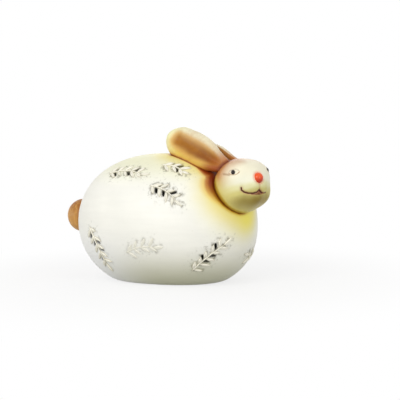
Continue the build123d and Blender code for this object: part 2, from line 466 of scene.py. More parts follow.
FACE = np.array([
    math.cos(HEAD_RAISE) * math.cos(HEAD_TURN),
    -math.cos(HEAD_RAISE) * math.sin(HEAD_TURN),
    math.sin(HEAD_RAISE),
])
CROWN = np.array([
    -math.sin(HEAD_RAISE) * math.cos(HEAD_TURN),
    math.sin(HEAD_RAISE) * math.sin(HEAD_TURN),
    math.cos(HEAD_RAISE),
])
HEAD_AXES = np.stack([FACE, np.cross(CROWN, FACE), CROWN])
BROW_CENTRE = head_line(BROW_SWING, BROW_LIFT) * BROW_FORWARD
EYE_LINE = head_line(EYE_SWING, EYE_LIFT)
EYE_POINT = BROW_CENTRE + EYE_LINE * BROW_RADIUS

# Balls that swell the skull, as centre, radius and softness: muzzle, brow, whisker pad, chin, cheek
HEAD_BALLS = [
    ((9.6, 0, 0), 11.8, 5),
    (BROW_CENTRE, BROW_RADIUS - 0.1, 2.5),
    ((14.0, 3.8, -3.8), 5.7, 3),
    ((9.6, 0, -9.6), 7.0, 3),
    ((5.5, 9.6, -7.4), 7.4, 5),
]


def fold_over(local):
    """The head's right side folded onto its left."""
    folded = local.copy()
    folded[:, 1] = np.abs(folded[:, 1])
    return folded


def head_distance(local):
    """Distance field of the head, its skull and balls run together."""
    folded = fold_over(local)
    field = np.linalg.norm(folded, axis=1) - HEAD_RADIUS
    for centre, radius, softness in HEAD_BALLS:
        field = smooth_min(field, distance_to(folded, centre) - radius, softness)
    return field


def over_head(points):
    """Distance outside the head, for places in the figure."""
    return head_distance((points - HEAD_CENTRE) @ HEAD_AXES.T)


def head_reach(directions):
    """Distance from the head's centre to its surface along each direction."""
    return find_edge(len(directions), HEAD_SEARCH, lambda reach: head_distance(directions * reach) < 0)


def line_distance(surface, stops, samples):
    """Distance of the head's points from a line drawn on it through (swing, lift) stops."""
    stops = np.asarray(stops, dtype=float)
    numbers = np.arange(len(stops))
    steps = np.linspace(0, len(stops) - 1, samples)
    swings = np.interp(steps, numbers, stops[:, 0])
    lifts = np.interp(steps, numbers, stops[:, 1])
    lines = np.stack([head_line(swing, lift) for swing, lift in zip(swings, lifts)])
    nearest = np.full(len(surface), np.inf)
    for place in lines * head_reach(lines)[:, None]:
        nearest = np.minimum(nearest, distance_to(surface, place))
    return nearest


def eye_marks(surface):
    """Round the eye: how far behind its middle, over its line, out from its rim and off the streak."""
    offset = fold_over(surface) - EYE_POINT
    side = unit(np.cross(UP, EYE_LINE))
    behind = offset @ side
    above = offset @ np.cross(EYE_LINE, side)
    near = (offset @ EYE_LINE) > -EYE_DEPTH
    # the almond of the eye leans down towards the nose
    over_line = above - ALMOND_LEAN * behind
    almond = (np.abs(behind - ALMOND_MIDDLE) / ALMOND_HALF_LENGTH) ** ALMOND_FULLNESS
    almond = almond + (np.abs(over_line) / ALMOND_HALF_HEIGHT) ** ALMOND_FULLNESS
    streak_x = behind - STREAK_MIDDLE
    streak_y = above - STREAK_SLOPE * streak_x
    streak = np.hypot(np.maximum(np.abs(streak_x) - STREAK_HALF, 0), streak_y)
    behind = np.where(near, behind, FAR_FROM_EYE)
    return behind, over_line, np.where(near, almond, FAR_ALMOND), np.where(near, streak, FAR_FROM_EYE)


def build_head(ears, material):
    directions, quads = cube_sphere(HEAD_CELLS)
    surface = directions * head_reach(directions)[:, None]
    mouth = np.minimum(line_distance(surface, NEAR_MOUTH, 160), line_distance(surface, FAR_MOUTH, 120))
    philtrum = line_distance(surface, PHILTRUM, 60)
    cleft = np.maximum(line_distance(surface, CLEFT, 12) - CLEFT_RADIUS, 0)
    lip = np.minimum(line_distance(surface, LOWER_LIP, 90), cleft)
    nose = distance_to(surface, NOSE_CENTRE)
    behind, over_line, almond, streak = eye_marks(surface)
    rim = bump(almond - LID_PLACE, LID_WIDTH)
    shift = -MOUTH_DEPTH * bump(mouth, LINE_WIDTH) - PHILTRUM_DEPTH * bump(philtrum, LINE_WIDTH)
    shift -= LIP_DEPTH * bump(lip, LIP_WIDTH)
    lids = UPPER_LID * rim * (over_line > 0) + LOWER_LID * rim * (over_line <= 0)
    shift += lids - SOCKET_DEPTH * (almond < 1)
    shift -= NOSE_GROOVE_DEPTH * bump(nose - NOSE_GROOVE, NOSE_GROOVE_WIDTH)
    shift += swell(surface, *HEAD_SWELL)
    local = surface + directions * shift[:, None]
    points = HEAD_CENTRE + local @ HEAD_AXES
    near_ear, far_ear = ears
    root = np.minimum(ear_distance(points, near_ear), ear_distance(points, far_ear) + FAR_ROOT_FADE)
    mesh = new_mesh("head", points, quads)
    paint(mesh, ear_root=np.maximum(root, 0), seam=np.maximum(over_egg(points), 0), mouth=mouth)
    paint(mesh, philtrum=philtrum, lip=lip, nose_ring=nose - NOSE_HALO, almond=almond)
    paint(mesh, lid_side=over_line, behind_eye=behind, streak=streak)
    paint(mesh, face_up=local[:, 2] / HEAD_RADIUS, face_on=local[:, 0] / HEAD_RADIUS)
    return new_piece("head_shell_glazed", mesh, ["head_shell"], material)


def build_nose(material):
    directions, quads = cube_sphere(NOSE_CELLS)
    local = NOSE_CENTRE + directions * NOSE_RADII
    mesh = new_mesh("nose", HEAD_CENTRE + local @ HEAD_AXES, quads)
    paint(mesh, up=directions[:, 2])
    return new_piece("nose_glazed", mesh, ["nose"], material)


def build_eye(name, side, material):
    directions, quads = cube_sphere(EYE_CELLS)
    mirror = np.array([1, side, 1])
    local = (EYE_POINT - EYE_LINE * EYE_SINK) * mirror + directions * EYE_RADII
    mesh = new_mesh(name, HEAD_CENTRE + local @ HEAD_AXES, quads)
    return new_piece(name + "_glazed", mesh, [name], material)


# Ears

def ear_axes(side, rise, setback):
    """Root point and axes of an ear: along to the tip, across, and out of the trough; side 1 for the left."""
    backward = np.array([-math.cos(EAR_TURN), math.sin(EAR_TURN), 0.0])
    outward = np.array([math.sin(EAR_TURN), math.cos(EAR_TURN), 0.0]) * side
    root = HEAD_CENTRE + backward * (setback - EAR_ROOT_FORWARD)
    root = root + outward * EAR_ROOT_ASIDE + UP * EAR_ROOT_LIFT
    level = backward * math.cos(EAR_SPLAY) + outward * math.sin(EAR_SPLAY)
    along = level * math.cos(rise) + UP * math.sin(rise)
    facing = outward * math.cos(EAR_LEAN) + UP * math.sin(EAR_LEAN)
    facing = unit(facing - along * (facing @ along))
    return root, along, np.cross(facing, along), facing


def ear_share(along):
    """Half-width of the ear as a share of its widest, from root 0 to tip 1."""
    tip = ((along - TIP_START) / TIP_LENGTH).clip(0, 1)
    return smooth_table(along, EAR_OUTLINE) * np.sqrt(np.clip(1 - tip ** 2, 0, 1))


def ear_distance(points, axes):
    """Rough distance to an ear, below zero inside it."""
    root, along, across, facing = axes
    x = (points - root) @ along
    y = (points - root) @ across
    z = (points - root) @ facing
    share = np.maximum(ear_share(np.clip(x / EAR_LENGTH, 0, LAST_SECTION)), LEAST_SHARE)
    level = np.hypot(y / (EAR_HALF_WIDTH * share), z / (EAR_HALF_THICKNESS * share))
    side = np.hypot(y, z) * (1 - 1 / np.maximum(level, TINY))
    end = np.maximum(np.maximum(x - EAR_LENGTH, -x), 0)
    return np.where(end > 0, np.hypot(np.maximum(side, 0), end), side)


def shape_rim(half, along, across, side):
    """Trims the near ear's upper rim; swells the far ear's near the head and trims it further back."""
    upper = smooth_step(*UPPER_RIM, across)
    trim, start, end = NEAR_EAR_TRIM if side < 0 else FAR_EAR_TRIM
    if side > 0:
        half = half * (1 + FAR_EAR_SWELL * upper * bump(along - FAR_SWELL_PLACE, FAR_SWELL_REACH))
    return half * (1 - trim * upper * smooth_step(*start, along) * smooth_step(*end, along))


def build_ear(name, side, axes, material):
    root, along_axis, across_axis, facing = axes
    sections = np.sin(np.linspace(0, math.pi / 2, EAR_ROWS)) ** 0.9
    angles = np.linspace(0, 2 * math.pi, EAR_COLUMNS, endpoint=False)
    along, angle = np.meshgrid(sections, angles, indexing="ij")
    across = np.cos(angle) * side
    half = shape_rim(EAR_HALF_WIDTH * ear_share(along), along, across, side)
    y = half * np.cos(angle)
    z = EAR_HALF_THICKNESS * ear_share(along) ** THICKNESS_TAPER * np.sin(angle)
    front = np.sin(angle) > 0
    inner = np.clip(np.abs(y) / np.maximum(half * TROUGH_SHARE, TINY), 0, 1)
    fade = smooth_step(*TROUGH_START, along) * (1 - smooth_step(*TROUGH_END, along))
    scoop = (1 - inner ** 2) ** TROUGH_ROUNDNESS * fade
    z = z - np.where(front, TROUGH_DEPTH * scoop, 0)
    # the trough has a soft fold along its middle, towards the root
    fold = bump(y / half.clip(TINY), FOLD_WIDTH) * fade * (1 - along)
    z = z - np.where(front, FOLD_DEPTH * fold, 0)
    local = np.stack([EAR_LENGTH * along, y, z], axis=-1).reshape(-1, 3)
    points = root + np.outer(local[:, 0], along_axis) + np.outer(local[:, 1], across_axis)
    points = points + np.outer(local[:, 2] + swell(local, *EAR_SWELL), facing)
    sink = ROOT_SINK * bump(over_head(points), ROOT_SINK_REACH)
    points = points + unit(HEAD_CENTRE - points) * sink[:, None]
    mesh = new_mesh(name, points, grid_quads(EAR_ROWS, EAR_COLUMNS, True))
    paint(mesh, scoop=scoop * front, along=along, across=across, front=front)
    paint(mesh, head_seam=np.maximum(over_head(points), 0), body_seam=np.maximum(over_egg(points), 0))
    return new_piece(name + "_glazed", mesh, [name], material)


def build_tail(material):
    directions, quads = cube_sphere(TAIL_CELLS)
    points = TAIL_CENTRE + directions * (TAIL_RADIUS + swell(directions, *TAIL_SWELL))[:, None]
    mesh = new_mesh("tail", points, quads)
    paint(mesh, seam=np.maximum(over_egg(points), 0))
    return new_piece("tail_glazed", mesh, ["tail"], material)


# Sprigs

def sprig_axes(share, round_angle, turn):
    """Origin and axes of the plane that touches the egg under a sprig."""
    point = egg_place(share, round_angle)
    normal = egg_normal(point)
    level = unit(np.array([1.0, 0, 0]) - normal * normal[0])
    across = np.cross(normal, level)
    angle = math.radians(turn)
    along = level * math.cos(angle) + across * math.sin(angle)
    return point, along, np.cross(normal, along), normal


def onto_egg(axes, x, y, height):
    """Carries flat sprig points onto the egg, then out by height."""
    point, along, across, normal = axes
    flat = point + np.outer(x, along) + np.outer(y, across)
    drop = find_edge(len(flat), SPRIG_SEARCH, lambda drop: egg_level(flat + drop * normal - EGG_CENTRE) < 1)
    surface = flat + drop[:, None] * normal
    return surface + egg_normal(surface) * (height - flat_depth(surface))[:, None]


def turned(x, y, along, across, slant):
    """Places in the sprig's plane, from distances along and across a slanted line through x and y."""
    flat_x = x + along * math.cos(slant) - across * math.sin(slant)
    flat_y = y + along * math.sin(slant) + across * math.cos(slant)
    return flat_x, flat_y


def stem_half(pairs):
    return LEAF_SPACING * pairs / 2


def stem_height(x, pairs):
    return STEM_BOW * (1 - (x / stem_half(pairs)) ** 2)


def sprig_grid(x, y, height, vein):
    """One grid of a sprig as flat lists, with its quads last."""
    return x.reshape(-1), y.reshape(-1), height.reshape(-1), vein.reshape(-1), grid_quads(*x.shape, False)


def leaf_points(x, y, slant, length, width):
    """Top of one leaf in the sprig's plane, crowned and with a sunk vein."""
    along, across = np.meshgrid(np.linspace(0, 1, LEAF_ROWS), np.linspace(-1, 1, LEAF_COLUMNS), indexing="ij")
    half = width / 2 * np.sin(math.pi * along ** 0.9) ** 0.85
    edge = np.clip(1 - np.abs(across) ** 2.4, 0, 1)
    ends = np.clip(np.sin(math.pi * along), 0, 1) ** 0.5
    vein = bump(across, VEIN_WIDTH) * smooth_step(0.05, 0.25, along) * (1 - smooth_step(0.75, 0.98, along))
    height = -SPRIG_SINK + (RELIEF + SPRIG_SINK) * edge ** 0.7 * ends - VEIN_DEPTH * vein
    flat_x, flat_y = turned(x, y, length * along, half * across, slant)
    return sprig_grid(flat_x, flat_y, height, vein)


def stem_points(pairs):
    """Top of the bowed stem, thick at its foot and fine at its end."""
    along, across = np.meshgrid(np.linspace(0, 1, STEM_ROWS), np.linspace(-1, 1, STEM_COLUMNS), indexing="ij")
    x = -stem_half(pairs) + 2 * stem_half(pairs) * along
    rounding = np.clip(np.sin(math.pi * np.clip(along, 0.03, 0.97)) * 3, 0, 1) ** 0.5
    width = STEM_WIDTH / 2 * (1.05 - 0.55 * along) * rounding
    y = stem_height(x, pairs) + width * across
    ends = np.clip(np.sin(math.pi * along) * 6, 0, 1)
    crown = np.clip(1 - across ** 2, 0, 1) ** 0.6
    height = -SPRIG_SINK + (STEM_SHARE * RELIEF + SPRIG_SINK) * crown * ends
    return sprig_grid(x, y, height, np.zeros_like(x))


def sprig_strength(gaps):
    """Sprigs that are not pierced are worn flat and faint."""
    return 1.0 if gaps else WORN_STRENGTH


def leaf_roots(pairs):
    """Root x, root y and slant of every leaf of a sprig."""
    roots = [(stem_half(pairs) - STEM_WIDTH, 0.0, 0.0)]
    for index in range(pairs):
        x = -stem_half(pairs) + LEAF_SPACING * (index + LEAF_START)
        for side in (1, -1):
            roots.append((x, stem_height(x, pairs), side * LEAF_SWING))
    return roots


def build_sprig(number, sprig, material):
    place, pairs, gaps = sprig
    strength = sprig_strength(gaps)
    dice = np.random.default_rng(SPRIG_SEED + number)
    grids = [stem_points(pairs)]
    for x, y, slant in leaf_roots(pairs):
        length = LEAF_LENGTH * dice.uniform(*LEAF_LENGTH_SPREAD)
        width = LEAF_WIDTH * dice.uniform(*LEAF_WIDTH_SPREAD)
        sway = dice.uniform(-LEAF_SWAY, LEAF_SWAY)
        grids.append(leaf_points(x, y, slant + sway, length, width))
    quads = []
    count = 0
    for grid in grids:
        quads += [tuple(corner + count for corner in quad) for quad in grid[-1]]
        count += len(grid[0])
    x, y, height, vein = [np.concatenate([grid[column] for grid in grids]) for column in range(4)]
    name = "sprig_%02d" % number
    points = onto_egg(sprig_axes(*place), x, y, height * strength)
    mesh = new_mesh(name, points, quads)
    paint(mesh, vein=vein, lift=height / RELIEF, faint=np.full(count, 1 - strength))
    return new_piece(name + "_glazed", mesh, [name], material)


def gap_place(pairs, interval, side):
    """Middle and slant of a pierced gap, in the sprig's plane."""
    x = -stem_half(pairs) + LEAF_SPACING * (interval + GAP_START)
    slant = side * LEAF_SWING
    middle_x = x + GAP_OFFSET * math.cos(slant)
    middle_y = stem_height(x, pairs) + GAP_OFFSET * math.sin(slant)
    return middle_x, middle_y, slant


def gap_outline(pairs, interval, side):
    """Almond outline between two leaves, in the sprig's plane."""
    middle_x, middle_y, slant = gap_place(pairs, interval, side)
    angle = np.linspace(0, 2 * math.pi, GAP_SIDES, endpoint=False)
    along = GAP_LENGTH / 2 * np.cos(angle)
    across = GAP_WIDTH / 2 * np.sin(angle) * np.abs(np.sin(angle)) ** 0.4
    return turned(middle_x, middle_y, along, across, slant)


def gap_prisms():
    """One mesh with a prism through the wall for every pierced gap."""
    points = []
    faces = []
    for place, pairs, gaps in SPRIGS:
        point, along, across, normal = sprig_axes(*place)
        for interval, side in gaps:
            x, y = gap_outline(pairs, interval, side)
            flat = point + np.outer(x, along) + np.outer(y, across)
            faces += prism_faces(len(points) * GAP_SIDES, GAP_SIDES)
            points += [flat - normal * GAP_DEPTH, flat + normal * GAP_DEPTH]
    return new_mesh("gaps", np.concatenate(points), faces)


# Body

def seam_distance(points, ears):
    """Distance to the head and the ears, whichever is nearer."""
    seam = over_head(points)
    for axes in ears:
        seam = np.minimum(seam, np.maximum(ear_distance(points, axes), 0) + EAR_SEAM_FADE)
    return seam


def patch_distance(x, y, slant, half_length, half_width):
    """Distance outside a slanted patch, for offsets from its middle."""
    along = np.abs(x * math.cos(slant) + y * math.sin(slant))
    across = np.abs(y * math.cos(slant) - x * math.sin(slant))
    return np.hypot(np.maximum(along - half_length, 0), np.maximum(across - half_width, 0))


def leaf_wash(points):
    """Dark stain that lies in the corners round the leaves, fainter on sprigs that are not pierced, and painted
    shade round the pierced gaps.
    """
    stain, fleck, shade = np.zeros((3, len(points)))
    for place, pairs, gaps in SPRIGS:
        point, along, across, normal = sprig_axes(*place)
        strength = sprig_strength(gaps)
        offset = points - point
        close = np.linalg.norm(offset, axis=1) < WASH_REACH
        near = np.flatnonzero((np.abs(offset @ normal) < WASH_DEPTH) & close)
        x = offset[near] @ along
        y = offset[near] @ across
        for root_x, root_y, slant in leaf_roots(pairs):
            leaf_x = x - root_x - math.cos(slant) * LEAF_LENGTH / 2
            leaf_y = y - root_y - math.sin(slant) * LEAF_LENGTH / 2
            spread = patch_distance(leaf_x, leaf_y, slant, LEAF_LENGTH / 2, LEAF_WIDTH * LEAF_CORE)
            stain[near] = np.maximum(stain[near], strength * bump(spread, STAIN_WIDTH))
            fleck[near] = np.maximum(fleck[near], strength * bump(spread, FLECK_WIDTH))
        for interval, side in gaps:
            middle_x, middle_y, slant = gap_place(pairs, interval, side)
            spread = patch_distance(
                x - middle_x, y - middle_y, slant, GAP_LENGTH * GAP_CORE, GAP_WIDTH * GAP_CORE)
            shade[near] = np.maximum(shade[near], bump(spread, SHADE_WIDTH))
    return stain, fleck, shade


def vent_prism():
    angle = np.linspace(0, 2 * math.pi, VENT_SIDES, endpoint=False)
    x = -VENT_SETBACK + VENT_RADIUS * np.cos(angle)
    y = VENT_RADIUS * np.sin(angle)
    outlines = [np.stack([x, y, np.full(VENT_SIDES, height)], axis=-1) for height in VENT_HEIGHTS]
    return new_mesh("vent", np.concatenate(outlines), prism_faces(0, VENT_SIDES))


def egg_shell(ears):
    """Mesh of the hollow egg, pressed in along the seams and pierced by the gaps and the vent."""
    directions, quads = cube_sphere(BODY_CELLS)
    outer = EGG_CENTRE + directions * egg_reach(directions, 0, 0)[:, None]
    shift = -SEAM_DEPTH * bump(np.maximum(seam_distance(outer, ears), 0), SEAM_WIDTH)
    for body_swell in BODY_SWELLS:
        shift += swell(outer, *body_swell)
    shift -= flat_depth(outer)
    shift *= smooth_step(*FOOT_FADE, outer[:, 2])
    outer = outer + egg_normal(outer) * shift[:, None]
    inner_directions, inner_quads = cube_sphere(HOLLOW_CELLS)
    inner = EGG_CENTRE + inner_directions * egg_reach(inner_directions, -WALL, FOOT_WALL)[:, None]
    faces = np.concatenate([quads, inner_quads[:, ::-1] + len(outer)])
    meshes = [new_mesh("shell", np.concatenate([outer, inner]), faces), gap_prisms(), vent_prism()]
    things = [bpy.data.objects.new(mesh.name, mesh) for mesh in meshes]
    shell, *tools = things
    for thing in things:
        bpy.context.scene.collection.objects.link(thing)
    for tool in tools:
        cut = shell.modifiers.new(tool.name, "BOOLEAN")
        cut.operation = "DIFFERENCE"
        cut.solver = "MANIFOLD"
        cut.object = tool
    graph = bpy.context.evaluated_depsgraph_get()
    body = bpy.data.meshes.new_from_object(shell.evaluated_get(graph))
    for thing in things:
        bpy.data.objects.remove(thing)
    body.name = "body"
    return body


def build_body(ears, material):
    mesh = egg_shell(ears)
    points = mesh_points(mesh)
    inward = np.maximum(-over_egg(points), 0)
    # the walls of the pierced gaps and the hollow within are marked to be painted near black, as painted shade
    inside = smooth_step(*INSIDE_DEPTHS, inward - flat_depth(points)) * (points[:, 2] > FOOT_EDGE)
    # the brown is broad on the nape, between ear and head, and thin under the chin and along the ear
    nape = np.maximum(spot(points, NAPE), spot(points, EAR_CORNER))
    tail = np.clip(distance_to(points, TAIL_CENTRE) - TAIL_RADIUS, 0, TAIL_COLOUR_REACH)
    stain, fleck, shade = leaf_wash(points)
    paint(mesh, seam=np.maximum(seam_distance(points, ears), 0), nape=nape, chest=spot(points, CHEST))
    paint(mesh, tail=tail, inside=inside, wash=stain, fleck=fleck, shade=shade)
    mesh.set_sharp_from_angle(angle=SHARP_ANGLE)
    return new_piece("body_shell_glazed", mesh, ["body_shell"], material)


# Materials, their colours in screen levels from 0 to 255

def linear(red, green, blue):
    """Screen colour as linear values."""
    result = []
    for value in (red, green, blue):
        level = value / 255
        result.append(level / 12.92 if level <= 0.04045 else ((level + 0.055) / 1.055) ** 2.4)
    return (*result, 1.0)


WHITE = (255, 255, 255)
CREAM = (250, 249, 241)
OCHRE = (196, 134, 48)
BROWN = (126, 62, 10)


class Glaze:
    """A node material whose colour is laid on in steps, so that each glaze reads as a short list."""

    def __init__(self, name):
        self.material = bpy.data.materials.new(name)
        self.material.use_nodes = True
        self.tree = self.material.node_tree
        self.shader = self.tree.nodes["Principled BSDF"]
        self.place = self.add("ShaderNodeTexCoord").outputs["Object"]
        self.colour = CREAM

    def add(self, kind, **settings):
        node = self.tree.nodes.new(kind)
        for key, value in settings.items():
            setattr(node, key, value)
        return node

    def link(self, value, socket):
        if isinstance(value, bpy.types.NodeSocket):
            self.tree.links.new(value, socket)
        elif socket.type == "RGBA":
            socket.default_value = linear(*value)
        else:
            socket.default_value = value

    def feed(self, node, inputs):
        for name, value in inputs.items():
            self.link(value, node.inputs[name])

    def axis(self, letter):
        """One coordinate of the place, in metres."""
        node = self.add("ShaderNodeSeparateXYZ")
        self.link(self.place, node.inputs[0])
        return node.outputs[letter]

    def read(self, name):
        return self.add("ShaderNodeAttribute", attribute_name=name).outputs["Fac"]

    def noise(self, scale, detail=4.0, rough=0.55, stretch=None):
        node = self.add("ShaderNodeTexNoise")
        source = self.place
        if stretch:
            mapping = self.add("ShaderNodeMapping")
            self.feed(mapping, {"Vector": self.place, "Scale": stretch})
            source = mapping.outputs["Vector"]
        self.feed(node, {"Vector": source, "Scale": scale, "Detail": detail, "Roughness": rough})
        return node.outputs["Fac"]

    def math(self, operation, first, second=0.0, clamp=False):
        node = self.add("ShaderNodeMath", operation=operation, use_clamp=clamp)
        self.link(first, node.inputs[0])
        self.link(second, node.inputs[1])
        return node.outputs[0]

    def both(self, first, second):
        return self.math("MULTIPLY", first, second)

    def share(self, value, reach):
        """A distance as a share of a reach, from 0 to 1."""
        return self.math("DIVIDE", value, reach, True)

    def span(self, value, low, high, to_low=0.0, to_high=1.0):
        node = self.add("ShaderNodeMapRange", interpolation_type="SMOOTHSTEP")
        self.feed(node, {"Value": value, "From Min": low, "From Max": high, "To Min": to_low, "To Max": to_high})
        return node.outputs["Result"]

    def fade(self, value, low, high, strength):
        """Strength up to low, nothing from high on."""
        return self.span(value, low, high, strength, 0.0)

    def mix(self, share, first, second, blend="MIX"):
        node = self.add("ShaderNodeMix", data_type="RGBA", blend_type=blend)
        self.feed(node, {"Factor": share, "A": first, "B": second})
        return node.outputs["Result"]

    def ramp(self, value, stops):
        node = self.add("ShaderNodeValToRGB")
        band = node.color_ramp
        band.interpolation = "EASE"
        while len(band.elements) < len(stops):
            band.elements.new(0.5)
        for element, (position, colour) in zip(band.elements, stops):
            element.position = position
            element.color = linear(*colour)
        self.link(value, node.inputs["Fac"])
        return node.outputs["Color"]

    def wander(self, value, amount, scale):
        """Adds a soft random drift to a distance, as an airbrush edge has."""
        drift = self.both(self.math("SUBTRACT", self.noise(scale, 3), 0.5), amount)
        return self.math("ADD", value, drift)

    def soft(self, name, amount, scale):
        return self.wander(self.read(name), amount, scale)

    def lay(self, share, colour):
        """Lays a colour over what is there."""
        self.colour = self.mix(share, self.colour, colour)

    def tint(self, value, low, high, strength, colour):
        self.lay(self.fade(value, low, high, strength), colour)

    def mottle(self, amount, scale, stretch=None):
        """Lightens and darkens the colour a little."""
        shade = self.span(self.noise(scale, 5, 0.6, stretch), 0.3, 0.7, 1 - amount, 1 + amount * 0.4)
        grey = self.add("ShaderNodeCombineColor")
        self.feed(grey, {"Red": shade, "Green": shade, "Blue": shade})
        self.colour = self.mix(1.0, self.colour, grey.outputs["Color"], "MULTIPLY")

    def finish(self, roughness, rough_spread=0.08, grain=0.04, coat=0.08):
        """Colour, uneven sheen and a fine pebbled skin."""
        sheen = self.span(self.noise(90, 4), 0.3, 0.7, roughness - rough_spread, roughness + rough_spread)
        skin = self.math("ADD", self.noise(420, 5), self.both(self.noise(1500, 2), 0.4))
        bumps = self.add("ShaderNodeBump")
        self.feed(bumps, {"Height": skin, "Strength": grain, "Distance": 0.0006})
        self.feed(self.shader, {
            "Base Color": self.colour, "Roughness": sheen, "Normal": bumps.outputs["Normal"],
            "Coat Weight": coat, "Coat Roughness": 0.3, "Specular IOR Level": 0.25})
        return self.material


def body_material():
    glaze = Glaze("body_glaze")
    height = glaze.axis("Z")
    glaze.lay(glaze.both(glaze.span(height, 0.070, 0.098), 0.85), (242, 241, 198))
    glaze.mottle(0.035, 24)
    glaze.mottle(0.025, 60, (0.25, 1, 3.2))
    broad = glaze.span(glaze.read("nape"), 0.1, 1.0, 0.5, 1.9)
    line = glaze.share(glaze.math("DIVIDE", glaze.soft("seam", 1.2, 110), broad), 10.0)
    glow = glaze.share(glaze.soft("seam", 7.0, 45), 30.0)
    yellow = glaze.mix(glaze.span(glow, 0.1, 0.8), (238, 224, 142), (246, 244, 214))
    glaze.tint(glow, 0.12, 1.0, 0.95, yellow)
    brush = glaze.ramp(line, [
        (0.0, (112, 34, 2)), (0.14, (138, 52, 6)), (0.32, (184, 104, 32)),
        (0.5, (236, 198, 104)), (1.0, (242, 226, 146))])
    # the seam's paint runs golden under the chin, and its orange there is partly a painted shadow of the chin
    golden = glaze.ramp(line, [
        (0.0, (138, 84, 8)), (0.1, (202, 146, 36)), (0.3, (234, 206, 94)),
        (1.0, (242, 228, 150))])
    brush = glaze.mix(glaze.span(height, 0.056, 0.078), golden, brush)
    glaze.tint(line, 0.15, 1.0, 1.0, brush)
    chest = glaze.both(glaze.read("chest"), glaze.span(line, 0.1, 0.5))
    glaze.lay(glaze.both(chest, 0.9), (255, 242, 104))
    tail = glaze.share(glaze.soft("tail", 3.0, 80), 22.0)
    tail_paint = glaze.ramp(tail, [
        (0.0, BROWN), (0.07, OCHRE), (0.25, (246, 220, 170)), (0.6, (249, 238, 214)),
        (1.0, CREAM)])
    glaze.tint(tail, 0.2, 1.0, 0.9, tail_paint)
    stain = glaze.both(glaze.read("wash"), glaze.span(glaze.noise(300, 4), 0.42, 0.62, 0.12, 1.0))
    glaze.lay(glaze.both(stain, 0.8), (118, 112, 92))
    # painted shade round the pierced gaps
    glaze.lay(glaze.both(glaze.read("shade"), 0.55), (62, 58, 40))
    fleck = glaze.both(glaze.read("fleck"), glaze.span(glaze.noise(430, 3), 0.56, 0.66))
    glaze.lay(glaze.both(fleck, 0.45), (140, 136, 118))
    # painted light and shade low on the egg: a cool white painted low on the tail's side, and on the head's side
    # a greenish grey that is painted shade with an olive tint
    rear = glaze.fade(glaze.axis("X"), -0.045, 0.015, 1.0)
    glaze.lay(glaze.both(glaze.fade(height, 0.014, 0.05, 0.9), rear), (252, 253, 253))
    fore = glaze.math("SUBTRACT", 1.0, rear)
    glaze.lay(glaze.both(glaze.fade(height, 0.0, 0.034, 0.75), fore), (190, 190, 156))
    glaze.lay(glaze.span(glaze.noise(520, 2), 0.70, 0.78, 0.0, 0.18), (190, 180, 150))
    # painted shade: the walls of the gaps and the hollow within, near black
    glaze.lay(glaze.read("inside"), (38, 33, 22))
    return glaze.finish(0.46)


def head_material():
    glaze = Glaze("head_glaze")
    up = glaze.soft("face_up", 0.25, 60)
    # the face runs from cream at the crown to yellow paint lower down; the dark olive at the very bottom, under
    # the chin, is painted shade
    glaze.colour = glaze.ramp(glaze.span(up, -0.9, 0.7), [
        (0.0, (136, 112, 30)), (0.2, (212, 202, 126)), (0.38, (232, 228, 178)),
        (0.58, (247, 245, 223)), (1.0, (250, 244, 218))])
    flank = glaze.mix(glaze.span(up, -0.2, 0.5), (222, 208, 128), (202, 138, 64))
    glaze.tint(glaze.read("face_on"), -0.05, 0.9, 0.95, flank)
    glaze.mottle(0.04, 50)
    seam = glaze.share(glaze.soft("seam", 2.0, 90), 11.0)
    brush = glaze.ramp(seam, [
        (0.0, (112, 56, 8)), (0.1, (146, 100, 16)), (0.3, (184, 152, 48)),
        (0.7, (222, 206, 120)), (1.0, (234, 224, 164))])
    glaze.tint(seam, 0.3, 1.0, 1.0, brush)
    root = glaze.soft("ear_root", 3.0, 90)
    glaze.tint(root, 0.0, 8.0, 0.95, (186, 116, 52))
    glaze.tint(root, 0.0, 3.0, 0.9, (120, 56, 12))
    glaze.tint(glaze.read("nose_ring"), 0.0, 2.6, 0.5, (238, 150, 118))
    almond = glaze.read("almond")
    behind = glaze.span(glaze.read("behind_eye"), -1.5, 1.5)
    glaze.lay(glaze.both(glaze.fade(almond, 0.7, 1.1, 0.85), behind), (246, 231, 207))
    lid = glaze.fade(glaze.math("ABSOLUTE", glaze.math("SUBTRACT", almond, 1.1)), 0.05, 0.42, 1.0)
    lid_side = glaze.read("lid_side")
    lid_colour = glaze.mix(glaze.span(lid_side, -0.3, 0.8), (184, 132, 84), (140, 122, 100))
    glaze.lay(glaze.both(lid, glaze.span(lid_side, -0.8, 0.3, 0.75, 0.25)), lid_colour)
    glaze.tint(glaze.read("streak"), 0.1, 1.5, 0.55, (150, 104, 66))
    glaze.tint(glaze.read("lip"), 0.2, 1.0, 0.9, (104, 36, 16))
    glaze.tint(glaze.read("philtrum"), 0.2, 1.0, 0.4, (176, 120, 92))
    mouth = glaze.soft("mouth", 0.3, 300)
    glaze.tint(mouth, 0.4, 2.2, 0.4, (190, 128, 80))
    glaze.tint(mouth, 0.35, 0.85, 1.0, (84, 30, 12))
    return glaze.finish(0.4)


